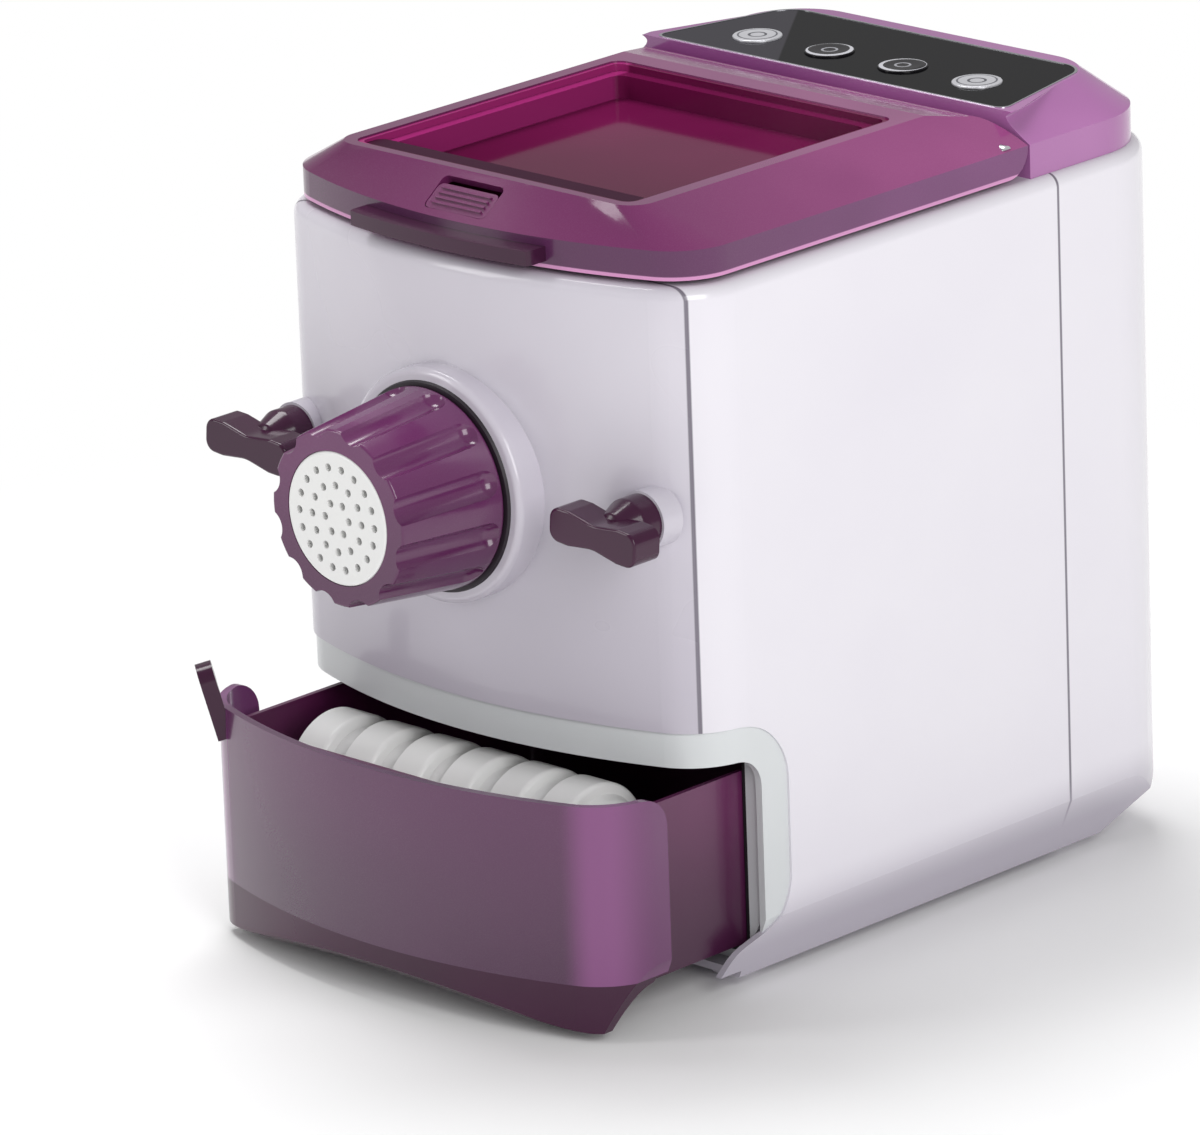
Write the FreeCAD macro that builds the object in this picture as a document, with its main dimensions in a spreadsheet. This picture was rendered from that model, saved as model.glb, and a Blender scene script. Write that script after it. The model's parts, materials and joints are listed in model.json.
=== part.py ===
import FreeCAD, Part
import math
import os
import re

# Electric noodle maker. Millimetres, +Z up, the front faces -Y, the origin is on the
# resting plane under the middle of the body.

V = FreeCAD.Vector
doc = FreeCAD.newDocument("NoodleMaker")

SIZES = [
    ("body_width", 212, "width over the side walls"),
    ("body_front", 122, "front centre ahead of the origin"),
    ("body_rear", 168, "rear centre behind the origin"),
    ("front_curve", 260, "plan radius of the bowed front"),
    ("front_corner", 28, "plan radius of the front corners"),
    ("rear_curve", 500, "plan radius of the bowed rear"),
    ("rear_corner", 38, "plan radius of the rear corners"),
    ("body_top", 270, "top of the white shell"),
    ("foot_height", 5, "underside of the base above the table"),
    ("wall", 2.5, "shell wall"),
    ("base_thickness", 3, "base plate"),
    ("shoulder", 5, "rounding round the top of the shell"),
    ("side_bevel_height", 27, "top of the sloping lower side"),
    ("side_bevel_inset", 9, "how far the lower side slopes in"),
    ("undercut_height", 50, "start of the rear undercut"),
    ("undercut_depth", 50, "how far the rear undercut reaches"),
    ("front_seam", 99, "front panel seam ahead of the origin"),
    ("rear_seam", 92, "rear cover seam behind the origin"),
    ("panel_bottom", 104, "lower edge of the front panel"),
    ("notch_back", 61, "rear end of the drawer frame on the sides"),
    ("drawer_top", 90, "top of the drawer front"),
    ("drawer_wing", 75, "rear end of the wrapped drawer front"),
    ("frame_thickness", 3, "drawer frame wall"),
    ("drawer_out", 50, "how far the drawer stands out at rest"),
    ("bay_half", 94, "half width inside the drawer bay"),
    ("bay_depth", 138, "length of the drawer bay"),
    ("bay_floor", 13, "floor of the drawer bay"),
    ("bay_roof", 88, "roof of the drawer bay"),
    ("tray_clearance", 0.5, "gap between tray and bay"),
    ("tray_wall", 2, "tray wall"),
    ("tray_height", 66, "tray wall height"),
    ("rail_height", 2.5, "runner strips under the tray"),
    ("ear_angle", 40, "turn of the drawer ear round the corner"),
    ("ear_lean", 14, "outward lean of the drawer ear"),
    ("spare_count", 6, "spare dies in the drawer"),
    ("spare_radius", 24, "spare die radius"),
    ("spare_length", 21, "spare die length"),
    ("rack_lift", 17, "rise of the spare dies over the tray floor"),
    ("axis_height", 186, "nozzle and mixing axis"),
    ("chamber_radius", 64, "inside radius of the chamber floor"),
    ("chamber_front", 93, "inside front of the chamber"),
    ("chamber_rear", 58, "inside rear of the chamber"),
    ("barrel_bore", 24, "inside radius of the extrusion barrel"),
    ("barrel_wall", 5, "barrel wall"),
    ("barrel_front", 170, "front end of the barrel"),
    ("screw_core", 8, "radius of the screw core"),
    ("screw_pitch", 22, "pitch of the screw flight"),
    ("collar_radius", 44, "white ring round the nozzle"),
    ("collar_height", 9, "how far the ring stands out"),
    ("cap_base", 38, "nozzle cap radius at the ring"),
    ("cap_nose", 33, "nozzle cap radius at the front"),
    ("cap_length", 47, "nozzle cap length"),
    ("cap_grooves", 12, "grooves round the cap"),
    ("die_radius", 25, "die disc radius"),
    ("die_thickness", 8, "die disc thickness"),
    ("run_gap", 0.06, "running clearance"),
    ("stud_reach", 88, "stud distance from the axis"),
    ("stud_radius", 3, "stud radius"),
    ("nut_width", 42, "wing nut bar width"),
    ("nut_depth", 13, "wing nut bar depth"),
    ("nut_front", 140, "front of the wing nut bar"),
    ("boss_radius", 11, "white boss behind each nut"),
    ("boss_front", 114, "front of the boss"),
    ("lid_inset", 4, "lid outline inside the shell outline"),
    ("lid_bottom", 272, "underside of the lid rim"),
    ("rim_top", 283, "top edge of the lid rim"),
    ("lid_crest", 296, "top of the lid"),
    ("lid_rear", 80.5, "rear end of the lid"),
    ("hinge_round", 10.5, "rounding of the lid about its hinge"),
    ("window_half", 70, "half width of the lid window"),
    ("window_front", 96, "front end of the window"),
    ("window_rear", 44, "rear end of the window"),
    ("window_drop", 12, "depth of the window pan"),
    ("lid_wall", 2.5, "lid wall"),
    ("grip_half", 45, "half width of the lid grip"),
    ("grip_reach", 9, "how far the grip stands out"),
    ("latch_half", 15, "half width of the latch button"),
    ("latch_travel", 3, "latch travel"),
    ("console_top", 294, "top of the control housing"),
    ("console_gap", 1, "gap between lid and control housing"),
    ("glass_half", 88, "half width of the glass at its front"),
    ("glass_depth", 60, "glass depth"),
    ("glass_thickness", 2, "glass thickness"),
    ("key_pitch", 37, "distance between the keys"),
    ("key_radius", 9.5, "key radius"),
    ("key_travel", 1.2, "key travel"),
    ("gear_module", 1.5, "gear module"),
    ("output_teeth", 60, "teeth of the output gear"),
    ("idler_pinion_teeth", 15, "teeth of the idler pinion"),
    ("idler_wheel_teeth", 45, "teeth of the idler wheel"),
    ("motor_pinion_teeth", 12, "teeth of the motor pinion"),
    ("motor_radius", 31, "motor can radius"),
    ("motor_length", 44, "motor can length"),
]

sheet = doc.addObject("Spreadsheet::Sheet", "Sizes")
for row, (alias, value, note) in enumerate(SIZES, start=1):
    sheet.set(f"A{row}", note)
    sheet.set(f"B{row}", str(value))
    sheet.setAlias(f"B{row}", alias)
doc.recompute()

ALIASES = {alias for alias, value, note in SIZES}


def size(alias):
    return float(sheet.get(alias))


def bind(obj, prop, value):
    """Sets a property to a number, or binds it to an expression in sheet names."""
    if isinstance(value, str):
        text = re.sub(r"[A-Za-z_]+", lambda m: "Sizes." + m.group(0) if m.group(0) in ALIASES else m.group(0), value)
        obj.setExpression(prop, text)
    else:
        setattr(obj, prop, value)


NODES = {}


def node(obj, name):
    obj.Label = name
    NODES[name] = obj
    return obj


# Sketch geometry

def line(a, b):
    return Part.LineSegment(V(a[0], a[1], 0), V(b[0], b[1], 0))


def arc(a, m, b):
    return Part.Arc(V(a[0], a[1], 0), V(m[0], m[1], 0), V(b[0], b[1], 0))


def circle(x, y, r):
    return [Part.Circle(V(x, y, 0), V(0, 0, 1), r)]


def loop(points):
    """Closed outline through points (x, y) or (x, y, rounding)."""
    count = len(points)
    starts = []
    ends = []
    arcs = []
    for i, p in enumerate(points):
        here = V(p[0], p[1], 0)
        before = V(points[i - 1][0], points[i - 1][1], 0)
        after = V(points[(i + 1) % count][0], points[(i + 1) % count][1], 0)
        r = p[2] if len(p) > 2 else 0
        u = (before - here).normalize()
        w = (after - here).normalize()
        if r <= 0:
            ends.append(here)
            starts.append(here)
            arcs.append(None)
            continue
        half = u.getAngle(w) / 2
        reach = r / math.tan(half)
        middle = here + (u + w).normalize() * (r / math.sin(half) - r)
        ends.append(here + u * reach)
        starts.append(here + w * reach)
        arcs.append(Part.Arc(here + u * reach, middle, here + w * reach))
    geometry = []
    for i in range(count):
        if arcs[i]:
            geometry.append(arcs[i])
        nxt = (i + 1) % count
        if (starts[i] - ends[nxt]).Length > 1e-6:
            geometry.append(Part.LineSegment(starts[i], ends[nxt]))
    return geometry


def rect(x0, x1, y0, y1, r=0):
    return loop([(x0, y0, r), (x1, y0, r), (x1, y1, r), (x0, y1, r)])


def corner(centre_y, curve, r, half, sign):
    """Corner rounding between the straight side and a bowed end."""
    cx = half - r
    cy = centre_y + sign * math.sqrt((curve - r) ** 2 - cx ** 2)
    reach = curve / (curve - r)
    tangent = (cx * reach, centre_y + (cy - centre_y) * reach)
    a = V(tangent[0] - cx, tangent[1] - cy, 0)
    b = V(r, 0, 0)
    mid = V(cx, cy, 0) + (a + b).normalize() * r
    return tangent, (mid.x, mid.y), (half, cy)


def plan(inset):
    """Plan outline of the body, moved inward by an inset."""
    half = size("body_width") / 2 - inset
    front = -size("body_front") + inset
    rear = size("body_rear") - inset
    fc = size("front_curve") - inset
    rc = size("rear_curve") - inset
    ft, fm, fs = corner(front + fc, fc, size("front_corner") - inset, half, -1)
    rt, rm, rs = corner(rear - rc, rc, size("rear_corner") - inset, half, 1)
    flip = lambda p: (-p[0], p[1])
    return [
        arc(flip(ft), (0, front), ft),
        arc(ft, fm, fs),
        line(fs, rs),
        arc(rs, rm, rt),
        arc(rt, (0, rear), flip(rt)),
        arc(flip(rt), flip(rm), flip(rs)),
        line(flip(rs), flip(fs)),
        arc(flip(fs), flip(fm), flip(ft)),
    ]


def front_at(x, inset=0):
    """Y of the bowed front at a distance x from the middle."""
    curve = size("front_curve") - inset
    return -size("body_front") + inset + curve - math.sqrt(curve ** 2 - x ** 2)


# Features

def body(name):
    made = doc.addObject("PartDesign::Body", name)
    made.Label = name
    return made


def sketch(b, role, offset, geometry, shift_x=0, shift_y=0):
    made = b.newObject("Sketcher::SketchObject", b.Name + "_profile")
    plane = next(f for f in b.Origin.OriginFeatures if f.Role == role)
    made.AttachmentSupport = (plane, [""])
    made.MapMode = "FlatFace"
    made.AttachmentOffset = FreeCAD.Placement(V(0, 0, 0), FreeCAD.Rotation())
    for prop, value in (("z", offset), ("x", shift_x), ("y", shift_y)):
        if isinstance(value, str):
            bind(made, "AttachmentOffset.Base." + prop, value)
        else:
            made.setExpression("AttachmentOffset.Base." + prop, str(value))
    for item in geometry:
        made.addGeometry(item)
    return made


def pad(b, profile, length, reverse=False, both=False):
    made = b.newObject("PartDesign::Pad", b.Name + "_pad")
    made.Profile = profile
    bind(made, "Length", length)
    made.Reversed = reverse
    made.Midplane = both
    return made


def pocket(b, profile, length=None, reverse=False, both=False):
    made = b.newObject("PartDesign::Pocket", b.Name + "_pocket")
    made.Profile = profile
    if length is None:
        made.Type = 1
        made.Midplane = both
    else:
        bind(made, "Length", length)
    made.Reversed = reverse
    return made


def turn(b, profile, axis="H_Axis"):
    made = b.newObject("PartDesign::Revolution", b.Name + "_turned")
    made.Profile = profile
    made.ReferenceAxis = (profile, [axis])
    made.Angle = 360
    return made


def round_edges(b, base, chosen, radius):
    doc.recompute()
    names = [f"Edge{i}" for i, edge in enumerate(base.Shape.Edges, start=1) if chosen(edge)]
    made = b.newObject("PartDesign::Fillet", b.Name + "_round")
    made.Base = (base, names)
    bind(made, "Radius", radius)
    return made


def level(edge, z, slack=0.01):
    box = edge.BoundBox
    return abs(box.ZMin - z) < slack and abs(box.ZMax - z) < slack


def cut(name, base, tool):
    made = doc.addObject("Part::Cut", name)
    made.Base = base
    made.Tool = tool
    return made


def common(name, base, tool):
    made = doc.addObject("Part::Common", name)
    made.Base = base
    made.Tool = tool
    return made


def fuse(name, shapes):
    made = doc.addObject("Part::MultiFuse", name)
    made.Shapes = shapes
    return made


def block(name, x, y, z):
    """Box between pairs of limits, each a number or an expression."""
    made = doc.addObject("Part::Box", name)
    for prop, place, (low, high) in (("Length", "x", x), ("Width", "y", y), ("Height", "z", z)):
        bind(made, prop, f"({high}) - ({low})")
        bind(made, "Placement.Base." + place, f"{low}")
    return made


def turned(name, points, z="axis_height", x=0):
    """Piece turned about an axis parallel to Y; points are (y, radius)."""
    b = body(name)
    turn(b, sketch(b, "YZ_Plane", x, loop(points), shift_y=z))
    return b


# Shell

half_width = size("body_width") / 2
base = size("foot_height")
FAR = 400


def side_bevel(inset):
    slope = size("side_bevel_inset") / (size("side_bevel_height") - base)
    shift = inset * math.hypot(1, slope)
    top = size("side_bevel_height") + (1 + shift) / slope
    low = base - 10
    foot = half_width - size("side_bevel_inset") - shift - slope * 10
    right = loop([(half_width + 1, top), (foot, low), (half_width + 1, low)])
    left = loop([(-half_width - 1, top), (-foot, low), (-half_width - 1, low)])
    return right + left


def undercut(inset):
    rear = size("body_rear") - inset
    lift = inset * 0.7
    high = size("undercut_height") + lift
    return loop([
        (rear + 2 - lift, high),
        (rear - 9, (high - base) * 0.48 + base, 18),
        (rear - size("undercut_depth"), base + lift),
        (rear - size("undercut_depth"), base - 10),
        (rear + 20, base - 10),
        (rear + 20, high),
    ])


def shell_form(name, inset, low, height):
    b = body(name)
    last = pad(b, sketch(b, "XY_Plane", low, plan(inset)), height)
    pocket(b, sketch(b, "XZ_Plane", 0, side_bevel(inset)), both=True)
    last = pocket(b, sketch(b, "YZ_Plane", 0, undercut(inset)), both=True)
    return b, last


outer, outer_tip = shell_form("outer_form", 0, "foot_height", "body_top - foot_height")
round_edges(outer, outer_tip, lambda e: level(e, size("body_top")), "shoulder")
core, core_tip = shell_form("core_form", size("wall"), "foot_height + base_thickness",
                            "body_top - foot_height - 2 * base_thickness")
skin = cut("skin", outer, core)

# The drawer frame fills a notch that wraps round the front corners.
notch_top = size("panel_bottom")
notch_back = -size("notch_back")


def notch_loop(grow):
    return loop([
        (-FAR, notch_top + grow),
        (notch_back + grow, notch_top + grow, 26),
        (notch_back + grow, size("side_bevel_height") - grow, 22),
        (-size("drawer_wing") - 12, base + 12 - grow, 12),
        (-size("front_seam"), base - 10),
        (-FAR, base - 10),
    ])


notch = body("notch_form")
pad(notch, sketch(notch, "YZ_Plane", 0, notch_loop(0)), FAR, both=True)

front_zone = block("front_zone", ("-200", "200"), ("-200", "-front_seam"), ("panel_bottom", "300"))
rear_zone = block("rear_zone", ("-200", "200"), ("rear_seam", "300"), ("foot_height + base_thickness", "300"))
middle_zone = block("middle_zone", ("-200", "200"), ("-front_seam", "rear_seam"),
                    ("foot_height + base_thickness", "300"))
base_zone = block("base_zone", ("-200", "200"), ("-drawer_wing - 6", "200"),
                  ("0", "foot_height + base_thickness"))

flange = 3.0
tub_half = size("chamber_radius") + size("wall")
tub_front = -size("chamber_front") - size("wall")
tub_rear = size("chamber_rear") + size("wall")
mouth = block("mouth", (f"{-tub_half - 0.2}", f"{tub_half + 0.2}"),
              (f"{tub_front - 0.2}", f"{tub_rear + 0.2}"), ("body_top - 20", "body_top + 20"))

middle_skin = common("middle_skin", skin, middle_zone)
notched = cut("notched_skin", middle_skin, notch)
node(cut("main_housing", notched, mouth), "main_housing")
node(common("base_tray", skin, base_zone), "base_tray")

# Rear cover with cooling slots and a round opening for the power inlet.
inlet_x = -55.0
inlet_z = 78.0
inlet_radius = 11.0
slot_tool = body("slot_form")
slots = []
for i in range(7):
    low = 110 + 12 * i
    slots += rect(-44, 44, low, low + 4, 1.9)
slots += circle(inlet_x, inlet_z, inlet_radius)
pad(slot_tool, sketch(slot_tool, "XZ_Plane", "-rear_seam - 30", slots), FAR, reverse=True)
rear_skin = common("rear_skin", skin, rear_zone)
node(cut("rear_cover", rear_skin, slot_tool), "rear_cover")

# Front panel with the barrel opening and two moulded stud bosses.
axis_z = size("axis_height")
stud_x = size("stud_reach")
barrel_outer = size("barrel_bore") + size("barrel_wall")
panel_skin = common("panel_skin", skin, front_zone)
bosses = body("boss_form")
boss_start = -front_at(stud_x) - size("wall")
pad(bosses, sketch(bosses, "XZ_Plane", boss_start,
                   circle(stud_x, axis_z, size("boss_radius")) + circle(-stud_x, axis_z, size("boss_radius"))),
    f"boss_front - {boss_start}")
panel_solid = fuse("panel_solid", [panel_skin, bosses])
panel_holes = body("panel_holes")
pad(panel_holes, sketch(panel_holes, "XZ_Plane", "front_seam",
                        circle(0, axis_z, size("collar_radius")) + circle(stud_x, axis_z, size("stud_radius"))
                        + circle(-stud_x, axis_z, size("stud_radius"))), 60)
node(cut("front_panel", panel_solid, panel_holes), "front_panel")

# Drawer frame, bay and drawer

frame_inset = 1.0
opening_top = size("drawer_top") + 0.6
frame_ring = body("frame_ring")
pad(frame_ring, sketch(frame_ring, "XY_Plane", "foot_height",
                       plan(frame_inset) + plan(frame_inset + size("frame_thickness"))),
    "panel_bottom - foot_height")
pocket(frame_ring, sketch(frame_ring, "XZ_Plane", 0, side_bevel(frame_inset)), both=True)
opening = body("opening_form")
pad(opening, sketch(opening, "YZ_Plane", 0, loop([
    (-FAR, opening_top),
    (-size("drawer_wing") + 0.6, opening_top, 12),
    (-size("drawer_wing") + 0.6, base - 20),
    (-FAR, base - 20)])), FAR, both=True)
frame_part = common("frame_part", frame_ring, notch)
node(cut("drawer_frame", frame_part, opening), "drawer_frame")

bay_front = size("drawer_wing") - 2
bay_rear = size("bay_depth") - bay_front
liner = 1.5
bay = body("bay_liner")
pad(bay, sketch(bay, "XZ_Plane", bay_front,
                rect(-size("bay_half") - liner, size("bay_half") + liner,
                     size("bay_floor") - liner, size("bay_roof") + liner)),
    f"bay_depth", reverse=True)
pocket(bay, sketch(bay, "XZ_Plane", bay_front + 1,
                   rect(-size("bay_half"), size("bay_half"), size("bay_floor"), size("bay_roof"))),
       f"bay_depth + 1 - {liner}")
node(bay, "bay_liner")

rails = body("drawer_rails")
rail_x = size("bay_half") - 20
pad(rails, sketch(rails, "XY_Plane", "bay_floor",
                  rect(rail_x - 4, rail_x + 4, -bay_front + 2, bay_rear - 6, 2)
                  + rect(-rail_x - 4, -rail_x + 4, -bay_front + 2, bay_rear - 6, 2)), "rail_height")
node(rails, "drawer_rails")

tray_half = size("bay_half") - size("tray_clearance")
tray_low = size("bay_floor") + size("rail_height") + size("run_gap")
tray_front = front_at(0) + 20
tray_rear = bay_rear - 6


def drawer_place(obj):
    bind(obj, "Placement.Base.y", "-drawer_out")
    return obj


tray = body("drawer_tray")
pad(tray, sketch(tray, "XY_Plane", tray_low,
                            rect(-tray_half, tray_half, tray_front, tray_rear, 9)), "tray_height")
tray_inner = size("tray_wall")
pocket(tray, sketch(tray, "XY_Plane", f"{tray_low} + tray_height",
                    rect(-tray_half + tray_inner, tray_half - tray_inner,
                         tray_front + tray_inner, tray_rear - tray_inner, 7)),
       "tray_height - tray_wall")
drawer_place(node(tray, "drawer_tray"))

skirt_top = 22.0
drawer_low = base - 1
front_ring = body("drawer_front_ring")
pad(front_ring, sketch(front_ring, "XY_Plane", skirt_top,
                       plan(0) + plan(size("frame_thickness"))), f"drawer_top - {skirt_top}")
pocket(front_ring, sketch(front_ring, "XZ_Plane", 0, side_bevel(0)), both=True)
front_cutter = body("drawer_front_form")
pad(front_cutter, sketch(front_cutter, "YZ_Plane", 0, loop([
    (-FAR, size("drawer_top")),
    (-size("drawer_wing"), size("drawer_top"), 12),
    (-size("drawer_wing"), skirt_top - 10),
    (-FAR, skirt_top - 10)])), FAR, both=True)
front_shell = common("drawer_front_shell", front_ring, front_cutter)
bridge_half = tray_half - 14
bridge = block("drawer_bridge", (f"-{bridge_half}", f"{bridge_half}"),
               (f"{front_at(bridge_half, size('frame_thickness')) - 7}", f"{tray_front}"),
               (f"{skirt_top + 4}", "drawer_top - 12"))
bridge_trim = body("bridge_trim")
pad(bridge_trim, sketch(bridge_trim, "XY_Plane", 0, plan(size("frame_thickness") - 0.5)), FAR)
bridge_cut = common("drawer_bridge_cut", bridge, bridge_trim)
drawer_place(node(fuse("drawer_front", [front_shell, bridge_cut]), "drawer_front"))

skirt_ring = body("skirt_ring")
pad(skirt_ring, sketch(skirt_ring, "XY_Plane", drawer_low,
                       plan(0) + plan(size("frame_thickness"))), skirt_top - drawer_low)
pocket(skirt_ring, sketch(skirt_ring, "XZ_Plane", 0, side_bevel(0)), both=True)
skirt_form = body("skirt_form")
pad(skirt_form, sketch(skirt_form, "YZ_Plane", 0, loop([
    (-FAR, skirt_top),
    (-size("drawer_wing") - 5.5, skirt_top),
    (-size("drawer_wing") - 13.5, drawer_low),
    (-size("body_front") + 14, drawer_low, 16),
    (-size("body_front") - 4, skirt_top - 4),
    (-FAR, skirt_top - 4)])), FAR, both=True)
drawer_place(node(common("drawer_skirt", skirt_ring, skirt_form), "drawer_skirt"))

# Small leaning ear on the outer face of the drawer front, at its left end.
ear_x = -(half_width - 14)
ear_reach = 6.0
ear_blank = body("ear_blank")
pad(ear_blank, sketch(ear_blank, "XZ_Plane", 0, loop([(-5, -12), (5, -12), (7.5, 17, 6), (-7.5, 17, 6)])), ear_reach)
ear_blank.Placement = FreeCAD.Placement(
    V(ear_x, front_at(ear_x) + 2, size("drawer_top")),
    FreeCAD.Rotation(V(0, 0, 1), -size("ear_angle")).multiply(FreeCAD.Rotation(V(1, 0, 0), size("ear_lean"))))
front_body = body("front_outline")
pad(front_body, sketch(front_body, "XY_Plane", 0, plan(0)), "drawer_top")
pad(front_body, sketch(front_body, "XY_Plane", "drawer_top", plan(-0.4)), 40)
drawer_place(node(cut("drawer_ear", ear_blank, front_body), "drawer_ear"))

# Spare dies standing on edge in a rack behind the drawer front.
spare_radius = size("spare_radius")
spare_length = size("spare_length")
spare_pitch = spare_length + 3.5
spare_start = -tray_half + 22
rack_y = tray_front + 34
rack_floor = tray_low + size("tray_wall")
spare_z = rack_floor + size("rack_lift") + spare_radius
spare_row = range(int(size("spare_count")))
rack = body("die_rack")
pad(rack, sketch(rack, "XY_Plane", rack_floor,
                 rect(-tray_half + 6, tray_half - 6, rack_y - 14, rack_y + 14, 4)), size("rack_lift") + 8)
for i in spare_row:
    saddle = circle(rack_y, spare_z, spare_radius + 0.1)
    pocket(rack, sketch(rack, "YZ_Plane", spare_start + spare_pitch * i + spare_length + 0.1, saddle),
           spare_length + 0.2)
drawer_place(node(rack, "die_rack"))


def spare_die(i):
    """Cup-shaped die lying on its side, its hole pattern growing from one to the next."""
    die = body(f"spare_die_{i + 1}")
    nose = spare_length - 7
    turn(die, sketch(die, "XZ_Plane", 0, loop([
        (0, 0), (0, spare_radius), (nose, spare_radius, 2), (nose + 1, spare_radius - 4),
        (spare_length, spare_radius - 6, 3), (spare_length, 0)])), "H_Axis")
    holes = []
    for ring, number in ((7, 5), (13, 9)):
        for k in range(number):
            angle = 2 * math.pi * k / number
            holes += circle(ring * math.cos(angle), ring * math.sin(angle), 1.2 + 0.25 * i)
    pocket(die, sketch(die, "YZ_Plane", 0, holes), both=True)
    die.Placement = FreeCAD.Placement(V(spare_start + spare_pitch * i, rack_y, spare_z), FreeCAD.Rotation())
    return die


drawer_place(node(fuse("spare_dies", [spare_die(i) for i in spare_row]), "spare_dies"))

face = body("bay_face")
face_half = half_width - frame_inset - size("frame_thickness")
face_low = size("foot_height") + size("base_thickness")
pad(face, sketch(face, "XZ_Plane", bay_front, loop([
    (-face_half + 10, face_low), (face_half - 10, face_low), (face_half, size("side_bevel_height")),
    (face_half, size("panel_bottom") - 2), (-face_half, size("panel_bottom") - 2),
    (-face_half, size("side_bevel_height"))])), 2, reverse=True)
pocket(face, sketch(face, "XZ_Plane", bay_front,
                    rect(-size("bay_half") - liner, size("bay_half") + liner,
                         size("bay_floor") - liner, size("bay_roof") + liner)), both=True)
node(face, "bay_face")

props = body("bay_supports")
pad(props, sketch(props, "XY_Plane", "foot_height + base_thickness",
                  rect(-70, -58, -bay_front + 4, bay_rear - 4) + rect(58, 70, -bay_front + 4, bay_rear - 4)),
    f"bay_floor - {liner} - foot_height - base_thickness")
node(props, "bay_supports")

feet = body("rubber_feet")
for x in (-80, 80):
    for y in (-66, 106):
        turn(feet, sketch(feet, "XZ_Plane", -y, loop([(0, 0), (8, 0, 1.5), (9.5, base), (0, base)]), shift_x=x),
             "V_Axis")
node(feet, "rubber_feet")

# Mixing chamber: a trough round the mixing axis, hung in the shell by its flange.

def trough(radius, top):
    return [
        line((-radius, axis_z), (-radius, top)),
        line((-radius, top), (radius, top)),
        line((radius, top), (radius, axis_z)),
        arc((radius, axis_z), (0, axis_z - radius), (-radius, axis_z)),
    ]


deck = size("body_top")
tub = body("mixing_chamber")
pad(tub, sketch(tub, "XZ_Plane", -tub_rear, trough(tub_half, deck)), tub_rear - tub_front)
flange_out = 7.0
pad(tub, sketch(tub, "XY_Plane", "body_top",
                rect(-tub_half - flange_out, tub_half + flange_out,
                     tub_front - 5, tub_rear + flange_out, 8)), 1.8)
pocket(tub, sketch(tub, "XZ_Plane", "chamber_front", trough(size("chamber_radius"), deck + 5)),
       "chamber_front + chamber_rear")
pocket(tub, sketch(tub, "XZ_Plane", "chamber_front + wall + 1", circle(0, axis_z, size("barrel_bore"))), 10)
seal_outer = 10.0
pocket(tub, sketch(tub, "XZ_Plane", "-chamber_rear + 1", circle(0, axis_z, seal_outer)), 10)
node(tub, "mixing_chamber")

shaft = 5.0
gap = size("run_gap")
node(turned("shaft_seal", [(size("chamber_rear") - 1, shaft + gap), (tub_rear + 1, shaft + gap),
                           (tub_rear + 1, seal_outer), (size("chamber_rear") - 1, seal_outer)]), "shaft_seal")

barrel_front = -size("barrel_front")
node(turned("extrusion_barrel", [
    (barrel_front, size("barrel_bore")), (tub_front, size("barrel_bore")),
    (tub_front, barrel_outer + 6), (tub_front - 4, barrel_outer + 6),
    (tub_front - 4, barrel_outer), (barrel_front, barrel_outer)]), "extrusion_barrel")

collar_front = -size("body_front") - size("collar_height")
node(turned("collar_ring", [
    (-size("front_seam") - 17, barrel_outer), (-size("front_seam") - 17, size("collar_radius")),
    (collar_front, size("collar_radius"), 2.5), (collar_front, barrel_outer)]), "collar_ring")
seal_front = collar_front - 1.2
node(turned("nozzle_gasket", [
    (collar_front, barrel_outer), (collar_front, size("cap_base") + 1.5),
    (seal_front, size("cap_base") + 1.0), (seal_front, barrel_outer)]), "nozzle_gasket")

# Nozzle cap: a cone with grooves that run out at its scalloped front edge.
cap_back = seal_front - gap
cap_nose = cap_back - size("cap_length")
die_back = barrel_front - gap
die_lip = die_back - 2.6
cap_body = turned("cap_blank", [
    (cap_back, barrel_outer + gap), (cap_back, size("cap_base"), 1.5),
    (cap_nose, size("cap_nose"), 1.0), (cap_nose, size("die_radius") + gap),
    (die_lip - gap, size("die_radius") + gap), (die_lip - gap, barrel_outer + gap)])
groove_radius = 6.5
groove_sink = 2.9
groove_back = cap_back - 8
taper = (size("cap_base") - size("cap_nose")) / size("cap_length")
flutes = []
for i in range(int(size("cap_grooves"))):
    turn_by = 360 * (i + 0.5) / size("cap_grooves")
    start_radius = size("cap_base") - taper * (cap_back - groove_back) + groove_radius - groove_sink
    tilt = math.degrees(math.atan(taper))
    seat = FreeCAD.Rotation(V(0, 1, 0), turn_by)
    place = FreeCAD.Placement(
        V(0, groove_back, axis_z) + seat.multVec(V(0, 0, start_radius)),
        seat.multiply(FreeCAD.Rotation(V(1, 0, 0), 90 + tilt)))
    flute = doc.addObject("Part::Cylinder", "flute")
    flute.Radius = groove_radius
    flute.Height = size("cap_length") + 10
    flute.Placement = place
    end = doc.addObject("Part::Sphere", "flute_end")
    end.Radius = groove_radius
    end.Placement = place
    flutes += [flute, end]
node(cut("nozzle_cap", cap_body, fuse("flutes", flutes)), "nozzle_cap")

die_front = die_back - size("die_thickness") - 1.5
disc = turned("die_disc", [(die_back, 0), (die_back, size("die_radius") + 3), (die_lip, size("die_radius") + 3),
                           (die_lip, size("die_radius")), (die_front, size("die_radius"), 1.2), (die_front, 0)])
strand_holes = []
for ring, number in ((6, 6), (12.5, 12), (19, 18)):
    for k in range(number):
        angle = 2 * math.pi * k / number
        strand_holes += circle(ring * math.cos(angle), axis_z + ring * math.sin(angle), 1.5)
pocket(disc, sketch(disc, "XZ_Plane", 0, strand_holes), both=True)
node(disc, "die_disc")

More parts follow.
